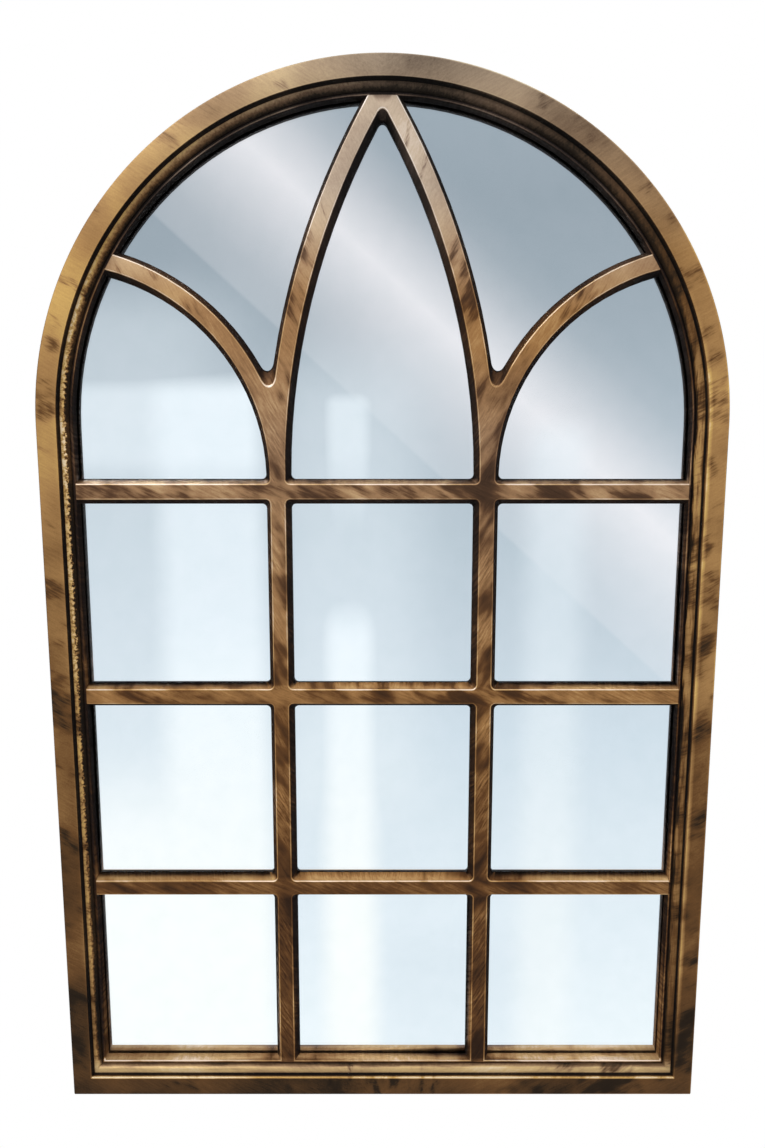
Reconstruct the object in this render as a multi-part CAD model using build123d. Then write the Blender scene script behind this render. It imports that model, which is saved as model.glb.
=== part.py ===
from build123d import *
import os
from math import cos, hypot, radians, sin

# An arched wall mirror made like a small cathedral window: a moulded outer frame,
# a separate tracery grille dropped in behind its lip, one sheet of mirror glass,
# a backing board held by turn buttons, and hardware to hang it on a wall.
# The front faces -Y, the wall is at +Y, +Z is up, and the origin is the middle of
# the space that the mirror fills at the level of its foot. All sizes are in mm.

# Turns in degrees
quarter_turn = 90.0
half_turn = 180.0

# Driving dimensions of the whole mirror
overall_width = 500.0
leg_length = 534.0          # from the foot up to the spring line of the round arch

# Outer frame moulding, read from its outer edge inwards and from its face backwards
face_width = 15.0           # flat band that goes all round the front
face_outer_bevel = 1.0
face_inner_bevel = 0.6
foot_corner_round = 2.0     # the two lower corners, seen from the front
step_run = 0.9              # steep step from the band down to the bead
step_depth = 4.7
bead_radius = 5.4           # quarter-round bead inside the step
lip_edge_depth = 2.7        # square edge under the bead
rebate_inset = 14.0         # the frame is solid out to here behind the lip

# Tracery grille, one moulding with a rim of its own
rim_joint_gap = 0.15        # between the edge of the frame's lip and the rim
rim_ledge_width = 1.95      # narrow ledge that shows inside the bead
rim_wall_run = 0.6          # how far the rim's inner wall leans in
rim_side_gap = 0.2          # between the rim's flange and the rebate
grille_depth = 9.0          # faces of the bars, behind the frame's face
grille_thickness = 8.0
bar_face = 11.2
bar_slope_run = 3.6         # how far each side of a bar spreads towards the glass
bar_trim = 3.0              # bars are made this much deeper each way, then cut level
bar_corner_round = 4.0
bar_fork_round = 6.0        # where the side arcs part from the lancet bars
bar_edge_bevel = 0.6
panes_across = 3
rows_of_panes = 3
top_bar_drop = 47.5         # centre of the top cross bar below the spring line
tracery_rise = 9.5          # the curved bars start this far above that centre
apex_rise = 5.4             # the lancet's centre lines cross this far above the rim
side_arc_radius = 159.0
lancet_turn = 45.0          # degrees, past the apex; cut off at the rim

mid_edge = 0.5              # share of an edge's length
through_share = 0.9         # an edge this deep, beside the grille's thickness, runs through
same_depth_share = 0.05     # edges this near, beside the rim's joint gap, are at one depth

# Glass and what lies behind it
glass_thickness = 3.0
sheet_side_gap = 0.5
cushion_thickness = 1.0
board_thickness = 3.0
board_side_gap = 0.4

# Turn buttons that hold the board
button_length = 30.0
button_width = 9.0
button_thickness = 1.2
button_corner_bevel = 2.6
button_face_gap = 0.05
button_hole_gap = 0.08
button_leg_shares = (0.27, 0.73)
button_arch_angles = (40.0, 90.0, 140.0)

# Wood screws that hold the buttons and the hangers
screw_shank_radius = 1.5
screw_head_radius = 3.0
screw_head_height = 1.8
screw_depth = 12.0          # length of shank inside the frame
screw_slot_length = 3.6
screw_slot_width = 0.8
screw_slot_depth = 0.9
shank_sides = 8             # few sides on small round things keep the model light
hole_sides = 12

# Strap hangers with a D-shaped ring, one on the back of each leg
strap_thickness = 1.0
strap_width = 6.6
strap_length = 34.0         # from the middle of the rolled eye to the strap's foot
strap_foot_bevel = 2.0
strap_hole_gap = 0.1
strap_screw_shares = (0.57, 0.85)
hanger_drop = 30.0          # rolled eye below the spring line
ring_wire_radius = 1.0
ring_wire_sides = 8
ring_eye_gap = 0.08
ring_inner_width = 8.6
ring_leg_length = 5.0
ring_corner_round = 1.6

# Rubber bumpers that keep the frame off the wall
bumper_radius = 5.0
bumper_height = 5.0
bumper_edge_bevel = 1.0
bumper_sides = 16
bumper_foot_inset = 24.0
bumper_arch_angle = 62.0

# Values worked out from the sizes above
half_width = overall_width / 2
lip_inset = face_width + step_run + bead_radius
lip_back = step_depth + bead_radius + lip_edge_depth
rim_outer_inset = lip_inset + rim_joint_gap
rim_inset = rim_outer_inset + rim_ledge_width
glass_front = grille_depth + grille_thickness
cushion_front = glass_front + glass_thickness
board_front = cushion_front + cushion_thickness
frame_depth = board_front + board_thickness
front_y = -(frame_depth + bumper_height) / 2
back_y = front_y + frame_depth
land_middle = rebate_inset / 2

inner_width = 2 * (half_width - rim_inset)
pane_width = (inner_width - (panes_across - 1) * bar_face) / panes_across
upright_x = (pane_width + bar_face) / 2
top_bar_z = leg_length - top_bar_drop
bar_rows_height = top_bar_z - bar_face / 2 - rim_inset
pane_height = (bar_rows_height - (rows_of_panes - 1) * bar_face) / rows_of_panes
row_pitch = pane_height + bar_face
tracery_z = top_bar_z + tracery_rise
lancet_rise = leg_length + half_width - rim_inset + apex_rise - tracery_z
lancet_radius = (upright_x ** 2 + lancet_rise ** 2) / (2 * upright_x)

eye_radius = ring_wire_radius + ring_eye_gap + strap_thickness
hanger_x = half_width - land_middle
eye_z = leg_length - hanger_drop
eye_y = back_y + eye_radius


def depth_plane(depth):
    """Plane parallel to the wall; its sketches lie in X and Z and extrude forwards."""
    return Plane(origin=(0, front_y + depth, 0), x_dir=(1, 0, 0), z_dir=(0, -1, 0))


def arch_wire(inset):
    """Outline of the arch, drawn in from the frame's outer edge by inset."""
    half = half_width - inset
    return Wire([
        Line((0, inset), (half, inset)),
        Line((half, inset), (half, leg_length)),
        CenterArc((0, leg_length), half, 0, half_turn),
        Line((-half, leg_length), (-half, inset)),
        Line((-half, inset), (0, inset)),
    ])


def arched_plate(inset, front, back):
    """Flat sheet with the arch's outline, from one depth to another."""
    return extrude(depth_plane(back) * make_face(arch_wire(inset)), amount=back - front)


def run_round(section):
    """Carry a section face, drawn as inset and depth, once round the arch with square corners."""
    start = Plane(origin=(0, front_y, 0), x_dir=(0, 0, 1), z_dir=(-1, 0, 0))
    path = depth_plane(0) * arch_wire(0)
    return sweep(start * section, path=path, transition=Transition.RIGHT)


def land_spot(angle):
    """Middle of the frame's back land on the arch, at an angle up from the spring line."""
    reach = half_width - land_middle
    return reach * cos(radians(angle)), leg_length + reach * sin(radians(angle))


def button_places():
    """X, Z and turn of each button, pointing from the frame's land in over the board."""
    places = []
    for share in button_leg_shares:
        places.append((hanger_x, share * leg_length, half_turn))
        places.append((-hanger_x, share * leg_length, 0))
    places.append((0, land_middle, quarter_turn))
    for angle in button_arch_angles:
        x, z = land_spot(angle)
        places.append((x, z, angle + half_turn))
    return places


def bumper_places():
    """X and Z of each wall bumper: both feet of the frame and both shoulders."""
    x, z = land_spot(bumper_arch_angle)
    return [(-hanger_x, bumper_foot_inset), (hanger_x, bumper_foot_inset), (-x, z), (x, z)]


def strap_screw_places():
    """X and Z of the screws through the two hanger straps."""
    return [(side * hanger_x, eye_z - share * strap_length)
            for side in (-1, 1) for share in strap_screw_shares]


def back_bar(x, z, outline, front, back):
    """Bar with the given outline, square to the wall, between two depths behind the frame's face."""
    return extrude(depth_plane(back) * Pos(x, z) * outline, amount=back - front)


def screw_shank(x, z, back):
    """Shank of a wood screw, from inside the frame back to a depth; it also cuts its own hole."""
    outline = RegularPolygon(screw_shank_radius, shank_sides)
    return back_bar(x, z, outline, frame_depth - screw_depth, back)


def frame_moulding():
    """Outer moulding: flat band, step and quarter-round bead, with a rebate behind."""
    bead_start = (face_width + step_run, step_depth)
    bead_end = (lip_inset, step_depth + bead_radius)
    front = Polyline((0, frame_depth), (0, 0), (face_width, 0), bead_start)
    bead = CenterArc((bead_start[0], bead_end[1]), bead_radius, -quarter_turn, quarter_turn)
    behind = Polyline(bead_end, (lip_inset, lip_back), (rebate_inset, lip_back),
                      (rebate_inset, frame_depth), (0, frame_depth))
    frame = run_round(make_face(Wire([*front.edges(), bead, *behind.edges()])))
    corners = frame.edges().filter_by(Axis.Y).group_by(Axis.Z)[0]
    frame = fillet(corners, foot_corner_round)
    face_edges = frame.edges().filter_by(lambda edge: at_depth(edge, 0))
    outer = face_edges.filter_by(lambda edge: inset_of(edge @ mid_edge) < face_width / 2)
    frame = chamfer(outer, face_outer_bevel)
    face_edges = frame.edges().filter_by(lambda edge: at_depth(edge, 0))
    inner = face_edges.filter_by(lambda edge: inset_of(edge @ mid_edge) > face_width / 2)
    frame = chamfer(inner, face_inner_bevel)
    for x, z, _ in button_places():
        frame -= screw_shank(x, z, frame_depth)
    for x, z in strap_screw_places():
        frame -= screw_shank(x, z, frame_depth)
    return frame


def inset_of(point):
    """How far a point lies inside the frame's outer edge."""
    if point.Z > leg_length:
        return half_width - hypot(point.X, point.Z - leg_length)
    return min(half_width - abs(point.X), point.Z)


def at_depth(edge, depth):
    """True for an edge that lies wholly at one depth behind the frame's face."""
    box = edge.bounding_box()
    tiny = rim_joint_gap * same_depth_share
    return abs(box.min.Y - front_y - depth) < tiny and abs(box.max.Y - front_y - depth) < tiny


def bar_section(x):
    """Section of a bar in the XY plane: narrow in front, sides sloping out to the glass."""
    trim_run = bar_trim * bar_slope_run / grille_thickness
    face_half = bar_face / 2 - trim_run
    foot_half = bar_face / 2 + bar_slope_run + trim_run
    face_y = front_y + grille_depth - bar_trim
    foot_y = front_y + glass_front + bar_trim
    return Polyline((x - face_half, face_y), (x + face_half, face_y), (x + foot_half, foot_y),
                    (x - foot_half, foot_y), (x - face_half, face_y))


def upright_bar(x):
    """Straight bar from the foot up to where the curved bars start."""
    section = Pos(0, 0, rim_outer_inset) * make_face(bar_section(x))
    return extrude(section, amount=tracery_z - rim_outer_inset)


def cross_bar(z):
    """Straight bar from side to side at one height."""
    lying = Plane(origin=(-half_width, 0, z), x_dir=(0, 0, -1), z_dir=(1, 0, 0))
    return extrude(lying * make_face(bar_section(0)), amount=overall_width)


def curved_bar(centre_x, turn):
    """Bar that leaves the left upright and bends round a centre on the same level."""
    section = Pos(0, 0, tracery_z) * make_face(bar_section(-upright_x))
    axis = Axis((centre_x, 0, tracery_z), (0, 1, 0))
    return revolve(section, axis=axis, revolution_arc=turn)


def through_edges(solid):
    """Edges that run the whole way from the faces of the bars to the glass."""
    least = grille_thickness * through_share
    return [edge for edge in solid.edges() if edge.bounding_box().size.Y > least]


def grille_rim():
    """Rim of the grille: a flange in the rebate and a narrow ledge inside the bead."""
    flange_inset = rebate_inset + rim_side_gap
    section = make_face(Polyline(
        (flange_inset, lip_back), (rim_outer_inset, lip_back), (rim_outer_inset, grille_depth),
        (rim_inset, grille_depth), (rim_inset + rim_wall_run, glass_front),
        (flange_inset, glass_front), (flange_inset, lip_back)))
    arris = section.vertices().sort_by(Axis.Y)[:2].sort_by(Axis.X)[-1]
    return run_round(chamfer(arris, bar_edge_bevel))


def tracery_grille():
    """Rim, three cross bars, two uprights and their curved branches, as one moulding."""
    lancet = curved_bar(lancet_radius - upright_x, lancet_turn)
    side_arc = curved_bar(-side_arc_radius - upright_x, -quarter_turn)
    fork = lancet + side_arc
    notch = [edge for edge in through_edges(fork)
             if (edge @ mid_edge).Z > tracery_z + bar_face
             and abs((edge @ mid_edge).X + upright_x) < bar_face]
    fork = fillet(notch, bar_fork_round)
    bars = fork + mirror(fork, about=Plane.YZ)
    for row in range(rows_of_panes):
        bars += cross_bar(top_bar_z - row * row_pitch)
    for x in (-upright_x, upright_x):
        bars += upright_bar(x)
    bars &= arched_plate(rim_outer_inset, grille_depth, glass_front)
    corners = [edge for edge in through_edges(bars) if edge.length < 2 * grille_thickness * through_share
               and inset_of(edge @ mid_edge) > rim_inset + rim_ledge_width]
    bars = fillet(corners, bar_corner_round)
    arrises = [edge for edge in bars.edges() if at_depth(edge, grille_depth)
               and inset_of(edge @ mid_edge) > rim_inset]
    bars = chamfer(arrises, bar_edge_bevel)
    print("inner corners of the grille:", len(corners), "edges bevelled:", len(arrises))
    return bars + grille_rim()


def turn_button(x, z, turn):
    """Flat steel button with clipped corners, on a screw near one end."""
    strip = Rectangle(button_length, button_width)
    strip = chamfer(strip.vertices(), button_corner_bevel)
    hole = RegularPolygon(screw_shank_radius + button_hole_gap, hole_sides, major_radius=False)
    outline = Rot(0, 0, turn) * (Pos((button_length - button_width) / 2, 0) * strip - hole)
    front = frame_depth + button_face_gap
    return back_bar(x, z, outline, front, front + button_thickness)


def slotted_screw(x, z, head_front, head_outline):
    """Slotted screw, its head clear of the frame's back by head_front."""
    head_depth = frame_depth + head_front
    head_back = head_depth + screw_head_height
    head = back_bar(x, z, head_outline, head_depth, head_back)
    slot = Rectangle(screw_slot_length, screw_slot_width)
    head -= back_bar(x, z, slot, head_back - screw_slot_depth, head_back)
    return head + screw_shank(x, z, head_depth)


def turn_button_screws():
    """Screws that the turn buttons turn round, so their heads are true circles."""
    head_front = button_thickness + 2 * button_face_gap
    head = Circle(screw_head_radius)
    screws = [slotted_screw(x, z, head_front, head) for x, z, _ in button_places()]
    return Compound([screw.solid() for screw in screws])


def hanger_screws():
    """Screws that hold the hanger straps; nothing turns on them, so few sides do."""
    head = RegularPolygon(screw_head_radius, hole_sides)
    screws = [slotted_screw(x, z, strap_thickness, head) for x, z in strap_screw_places()]
    return Compound([screw.solid() for screw in screws])


def hanger_strap(side):
    """Strap with one end rolled into an eye; its flat part is screwed to the frame."""
    x = side * hanger_x
    plane = Plane(origin=(x - strap_width / 2, eye_y, eye_z), x_dir=(0, 1, 0), z_dir=(1, 0, 0))
    eye = Circle(eye_radius) - Circle(eye_radius - strap_thickness)
    mouth = Pos(strap_thickness, -eye_radius / 2) * Rectangle(strap_thickness, eye_radius)
    tongue = Pos(-eye_radius + strap_thickness / 2, -strap_length / 2) * Rectangle(
        strap_thickness, strap_length)
    strap = extrude(plane * (eye - mouth + tongue), amount=strap_width)
    foot = strap.edges().filter_by(Axis.Y).group_by(Axis.Z)[0]
    strap = chamfer(foot, strap_foot_bevel)
    hole = RegularPolygon(screw_shank_radius + strap_hole_gap, hole_sides, major_radius=False)
    for share in strap_screw_shares:
        z = eye_z - share * strap_length
        strap -= back_bar(x, z, hole, frame_depth, frame_depth + strap_thickness)
    return strap


def hanger_ring(side):
    """D-shaped wire ring that hangs from the rolled eye by its straight bar."""
    half = ring_inner_width / 2 + ring_wire_radius
    plane = Plane(origin=(side * hanger_x, eye_y, eye_z), x_dir=(1, 0, 0), z_dir=(0, -1, 0))
    corner = ring_corner_round
    path = Wire([
        Line((0, 0), (half - corner, 0)),
        CenterArc((half - corner, -corner), corner, quarter_turn, -quarter_turn),
        Line((half, -corner), (half, -ring_leg_length)),
        CenterArc((0, -ring_leg_length), half, 0, -half_turn),
        Line((-half, -ring_leg_length), (-half, -corner)),
        CenterArc((corner - half, -corner), corner, half_turn, -quarter_turn),
        Line((corner - half, 0), (0, 0)),
    ])
    across = Plane(origin=plane.origin, x_dir=(0, 1, 0), z_dir=(1, 0, 0))
    flat_up = Rot(0, 0, half_turn / ring_wire_sides)
    return sweep(across * flat_up * RegularPolygon(ring_wire_radius, ring_wire_sides), path=plane * path)


def wall_bumper(x, z):
    """Round rubber bumper with a bevelled rim, stuck to the frame's back."""
    outline = RegularPolygon(bumper_radius, bumper_sides)
    bumper = back_bar(x, z, outline, frame_depth, frame_depth + bumper_height)
    rim = bumper.faces().sort_by(Axis.Y)[-1].edges()
    return chamfer(rim, bumper_edge_bevel)


def main():
    os.makedirs("parts", exist_ok=True)
    nodes = {
        "frame_moulding": frame_moulding(),
        "tracery_grille": tracery_grille(),
        "mirror_glass": arched_plate(rebate_inset + sheet_side_gap, glass_front, cushion_front),
        "cushion_sheet": arched_plate(rebate_inset + sheet_side_gap, cushion_front, board_front),
        "backing_board": arched_plate(rebate_inset + board_side_gap, board_front, frame_depth),
        "hanger_strap_left": hanger_strap(-1),
        "hanger_strap_right": hanger_strap(1),
        "hanger_ring_left": hanger_ring(-1),
        "hanger_ring_right": hanger_ring(1),
    }
    for number, (x, z, turn) in enumerate(button_places(), 1):
        nodes[f"turn_button_{number}"] = turn_button(x, z, turn)
    for number, (x, z) in enumerate(bumper_places(), 1):
        nodes[f"wall_bumper_{number}"] = wall_bumper(x, z)
    nodes["turn_button_screws"] = turn_button_screws()
    nodes["hanger_screws"] = hanger_screws()
    for name, solid in nodes.items():
        export_step(solid, f"parts/{name}.step")
        print(f"{name}: {len(solid.solids())} solid, volume {solid.volume:.0f} mm3")


main()
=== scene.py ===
# %% [markdown]
# # An arched window mirror in antique bronze
# The real mirror is a moulded frame with a round head, a raised tracery grille behind its lip,
# and one sheet of mirror glass behind that. The CAD model already holds every solid in its
# place, so Blender's work is the finish: paint, glass, plating, rubber and light.
# The CAD model is loaded as a fixed frame.

# %% Load the CAD model
from functools import partial
from math import cos, pi, radians, sin
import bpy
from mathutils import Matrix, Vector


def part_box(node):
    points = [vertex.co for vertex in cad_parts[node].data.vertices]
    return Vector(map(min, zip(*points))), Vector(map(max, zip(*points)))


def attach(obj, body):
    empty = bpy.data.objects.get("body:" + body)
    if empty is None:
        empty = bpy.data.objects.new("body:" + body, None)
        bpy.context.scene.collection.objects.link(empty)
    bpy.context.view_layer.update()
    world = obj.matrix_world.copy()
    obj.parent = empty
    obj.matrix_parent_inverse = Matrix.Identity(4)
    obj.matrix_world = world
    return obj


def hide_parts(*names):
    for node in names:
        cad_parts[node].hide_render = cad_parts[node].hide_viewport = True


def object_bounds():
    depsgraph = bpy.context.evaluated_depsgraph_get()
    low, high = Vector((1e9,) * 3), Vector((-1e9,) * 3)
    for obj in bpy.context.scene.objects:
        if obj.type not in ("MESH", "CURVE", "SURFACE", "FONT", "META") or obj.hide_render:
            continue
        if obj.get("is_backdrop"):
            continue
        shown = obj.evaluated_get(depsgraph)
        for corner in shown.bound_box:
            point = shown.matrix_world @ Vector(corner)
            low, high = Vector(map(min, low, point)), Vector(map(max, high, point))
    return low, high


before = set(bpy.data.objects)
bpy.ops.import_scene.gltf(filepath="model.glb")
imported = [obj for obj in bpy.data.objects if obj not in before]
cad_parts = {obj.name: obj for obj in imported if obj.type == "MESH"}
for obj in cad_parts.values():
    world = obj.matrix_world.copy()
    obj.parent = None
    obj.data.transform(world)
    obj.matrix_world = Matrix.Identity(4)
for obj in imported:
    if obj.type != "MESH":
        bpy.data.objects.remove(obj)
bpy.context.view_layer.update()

from types import SimpleNamespace

import bmesh
import bpy
from mathutils import Matrix, Vector

MM = 0.001
scene = bpy.context.scene

# %% [markdown]
# ## Sizes
# The pieces made here take their places from the CAD nodes, so nothing is fitted by eye. Only
# the moulding's section, which is swept again with finer rounds, and for the paint the places
# of the grille's bars are repeated. All are millimetres. Insets are read inwards from the
# frame's outer edge and depths backwards from its face.

# %% Sizes of the moulding
frame_low, frame_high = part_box("frame_moulding")
front_y = frame_low.y / MM
frame_depth = (frame_high.y - frame_low.y) / MM
half_width = frame_high.x / MM
leg_length = frame_high.z / MM - half_width
face_width = 15.0
face_outer_round = 1.0
face_inner_round = 0.6
foot_corner_round = 2.0
step_run = 0.9
step_depth = 4.7
bead_radius = 5.4
lip_edge_depth = 2.7
rebate_inset = 14.0
print(f"half width {half_width:.1f}, leg {leg_length:.1f}, depth {frame_depth:.1f}")

# %% Places of the grille's bars
grille_low, grille_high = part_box("tracery_grille")
rim_inset = 23.4
bar_half = 5.6
upright_x = 77.4
row_pitch = 156.233
top_bar_z = leg_length - 47.5
print(f"grille from {grille_low.y / MM - front_y:.1f} to {grille_high.y / MM - front_y:.1f}")

# %% [markdown]
# ## Camera
# The photograph was taken from close by, at about two thirds of the mirror's height and
# tipped down a little, so the legs run together towards the foot. The camera stands where
# those lines say, with the lens that gives the same picture. The sensor's long side is the
# picture's height, because the picture is higher than wide.

# %% Camera
lens_pixels = 850.0
picture_height = 1148.0
camera_data = bpy.data.cameras.new("photo_camera")
camera_data.sensor_width = 36.0
camera_data.lens = camera_data.sensor_width * lens_pixels / picture_height
camera = bpy.data.objects.new("photo_camera", camera_data)
camera.location = (0, -0.6355, 0.517)
camera.rotation_euler = (radians(81.71), 0, 0)
scene.collection.objects.link(camera)
scene.camera = camera
print(f"lens {camera_data.lens:.2f} mm, camera at {tuple(round(c, 3) for c in camera.location)}")

# %% [markdown]
# ## Helpers for materials
# A colour is written as the hex value that a picture editor shows, and one function turns it
# into the linear light that the renderer works in. Another adds any node: it sets the node's
# own settings, then links or fills its inputs in order, and leaves the rest as Blender has
# them, such as 0 to 1 for what Map Range gives. The kinds of node and the sums that come up
# most have short names.

# %% Colour and node helpers
def linear(hex_colour):
    """Linear colour, with alpha, of an sRGB value written as RRGGBB."""
    channels = []
    for start in (0, 2, 4):
        value = int(hex_colour[start:start + 2], 16) / 255
        channels.append(value / 12.92 if value <= 0.04045 else ((value + 0.055) / 1.055) ** 2.4)
    return (*channels, 1)


def join(source, socket):
    """Link a node's first output, or an output, to an input; or write a value there."""
    if isinstance(source, bpy.types.Node):
        source = source.outputs[0]
    if isinstance(source, bpy.types.NodeSocket):
        socket.id_data.links.new(source, socket)
    elif source is not None:
        socket.default_value = source


def add(tree, kind, *inputs, stops=(), **settings):
    """Add a node. Each input is a node, an output, a value, or None to leave it as it is."""
    node = tree.nodes.new(kind)
    for name, value in settings.items():
        setattr(node, name, value)
    for place, (spot, colour) in enumerate(stops):
        points = node.color_ramp.elements
        point = points[place] if place < 2 else points.new(spot)
        point.position = spot
        point.color = linear(colour)
    for socket, value in zip([socket for socket in node.inputs if socket.enabled], inputs):
        join(value, socket)
    return node


MATH = "ShaderNodeMath"
NOISE = "ShaderNodeTexNoise"
RANGE = "ShaderNodeMapRange"
RAMP = "ShaderNodeValToRGB"
VECTOR = "ShaderNodeVectorMath"
MIX = "ShaderNodeMix"
SPLIT = "ShaderNodeSeparateXYZ"
GATHER = "ShaderNodeCombineXYZ"
PLACES = "ShaderNodeTexCoord"
PLUS = {"operation": "ADD"}
MINUS = {"operation": "SUBTRACT"}
TIMES = {"operation": "MULTIPLY"}
OVER = {"operation": "DIVIDE"}
TIMES_PLUS = {"operation": "MULTIPLY_ADD"}
LARGER = {"operation": "MAXIMUM"}
UNSIGNED = {"operation": "ABSOLUTE"}
SMOOTH = {"interpolation_type": "SMOOTHSTEP"}


def new_material(name):
    """Empty node material, a function that adds a node to it, and its Principled shader."""
    material = bpy.data.materials.new(name)
    material.use_nodes = True
    tree = material.node_tree
    return material, partial(add, tree), tree.nodes["Principled BSDF"]


print("a middle grey of 808080 is", round(linear("808080")[0], 3), "in linear light")

# %% [markdown]
# ## Where the paint lies
# The paint follows the mirror's shape: bright where a brush rubs over an edge, dark where it
# never reaches. So the material has to know how far a point is from the frame's outer edge,
# how far it lies behind the face, and which way it faces. All three are plain geometry,
# worked out here from Object coordinates in millimetres.

# %% Distances for the paint
def surface_places(put):
    """Outputs for x, depth, z and inset in millimetres, and for the way the surface faces."""
    coordinates = put(PLACES)
    scaled = put(VECTOR, coordinates.outputs["Object"], (1 / MM,) * 3, **TIMES)
    x, y, z = put(SPLIT, scaled).outputs
    depth = put(MATH, y, front_y, **MINUS)
    up = put(MATH, put(MATH, z, leg_length, **MINUS), 0.0, **LARGER)
    reach = put(MATH, up, up, put(MATH, x, x, **TIMES), **TIMES_PLUS)
    side = put(MATH, half_width, put(MATH, reach, operation="SQRT"), **MINUS)
    inset = put(MATH, side, z, operation="MINIMUM")
    return SimpleNamespace(mm=scaled, x=x, depth=depth, z=z, inset=inset,
                           normal=coordinates.outputs["Normal"])


def brush_and_painted_light(put, at, front_tone, painted_top_light):
    """Tone by the way a surface faces: most in front from the brush, with painted light on faces
    turned up and left.
    """
    facing = put(SPLIT, at.normal)
    ahead = put(MATH, facing.outputs[1], -1.0, **TIMES, use_clamp=True)
    ahead = put(MATH, ahead, 3.5, operation="POWER")
    # Faces turned up and to the left get painted light, as if lit from above left.
    above = put(RANGE, facing.outputs[2], 0.1, 0.9)
    left = put(RANGE, facing.outputs[0], -0.1, -0.9, 0.0, 0.12)
    tone = put(MATH, ahead, front_tone, left, **TIMES_PLUS)
    return put(MATH, above, painted_top_light, tone, **TIMES_PLUS)


print("the paint knows where it lies")

# %% [markdown]
# ## Antique bronze paint
# The frame and the grille are moulded in plastic, sprayed dark brown, then dry-brushed with
# bronze and gold paint, which catches the front and the arrises and misses the hollows. That
# gives a satin, slightly metallic gold with soft brown sweeps that end in single bristle marks,
# bright worn edges and nearly black recesses. Light and shade are painted in as well: painted
# light on faces turned up and left, painted highlights on arrises that face up, and painted
# shade in the recesses. One value from dark to bright is built up from these, and a colour ramp
# turns it into paint. The strokes lean outwards on both sides, so the width is read from the
# middle outwards, offset so that the sides aren't copies. The grille's rows were brushed in a
# direction of their own.

# %% Antique bronze paint
bristle_mark = (12.0, 6.0, 1.4)     # length, depth and width in millimetres
cloud_size, fleck_size = 60.0, 1.2
sweep_fade = 0.28


def antique_bronze(name, lay_paint, paints, grey_hue, slants, sweep, cover, darkness, streak):
    """Dry-brushed paint. sweep is a dark sweep's size in mm, cover is how much stays gold."""
    material, put, shader = new_material(name)
    at = surface_places(put)
    tone, edge, grey, extra_cover, on_row, marked = lay_paint(put, at)

    def brushed(laid, slant):
        """Bristle marks and dark sweeps, drawn at a slant in degrees."""
        turned = put("ShaderNodeMapping", laid, None, (0, radians(slant), 0))
        drawn, swept = [put(VECTOR, turned, tuple(1 / size for size in sizes), **TIMES)
                        for sizes in (bristle_mark, sweep)]
        return put(NOISE, drawn, 1.0, 3.0, 0.6), put(NOISE, swept, 1.0)

    outwards = put(MATH, at.x, **UNSIGNED)
    aside = put(RANGE, at.x, -45, 45, -90, 90)
    bristles, sweeps = brushed(put(GATHER, outwards, aside, at.z), slants[0])
    if on_row is not None:
        level_bristles, level_sweeps = brushed(put(GATHER, at.x, at.depth, at.z), slants[1])
        bristles = put(MIX, on_row, bristles, level_bristles)
        sweeps = put(MIX, on_row, sweeps, level_sweeps)
    clouds = put(NOISE, at.mm, 1 / cloud_size)
    flecks = put(NOISE, at.mm, 1 / fleck_size, 2.0, 0.6)

    # Dark sweeps lie over the gold, with ends that the bristles leave ragged.
    ragged = put(MATH, sweeps, put(RANGE, bristles, 0.3, 0.7, -0.08, 0.08), **PLUS)
    ragged = put(MATH, ragged, extra_cover, **PLUS)
    dark = put(RANGE, ragged, cover, cover + sweep_fade, 0.0, darkness, **SMOOTH)
    marks = put(RANGE, bristles, 0.3, 0.7, -streak, streak)
    value = put(MATH, marks, marked, tone, **TIMES_PLUS)
    for noise, strength in ((clouds, 0.11), (flecks, 0.02)):
        value = put(MATH, value, put(RANGE, noise, 0.3, 0.7, -strength, strength), **PLUS)
    value = put(MATH, value, put(MATH, 1.0, dark, **MINUS), **TIMES)
    rubbed = put(RANGE, clouds, 0.35, 0.6, 0.2, 0.5)
    value = put(MATH, edge, rubbed, value, **TIMES_PLUS, use_clamp=True)

    # The value becomes paint, greyer where the grey mask is high and shinier where bright.
    paint = put(RAMP, value, stops=paints)
    cool = put(MIX, grey, data_type="RGBA")
    join(paint, cool.inputs[6])
    join(put("ShaderNodeHueSaturation", grey_hue, 0.45, 0.9, 1.0, paint), cool.inputs[7])
    dull = put(RANGE, value, 0.1, 0.35, 0.3, 0.0)
    rough = put(MATH, put(RANGE, bristles, 0.3, 0.7, 0.50, 0.40), dull, **PLUS)
    relief = put(MATH, bristles, flecks, **PLUS)
    join(cool.outputs[2], shader.inputs["Base Color"])
    join(rough, shader.inputs["Roughness"])
    join(put(RANGE, value, 0.2, 0.8, 0.0, 0.3), shader.inputs["Metallic"])
    join(put("ShaderNodeBump", 0.2, 0.15 * MM, None, relief), shader.inputs["Normal"])
    shader.inputs["Specular IOR Level"].default_value = 0.08
    return material


print("a bristle mark is", bristle_mark, "mm")
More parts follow.
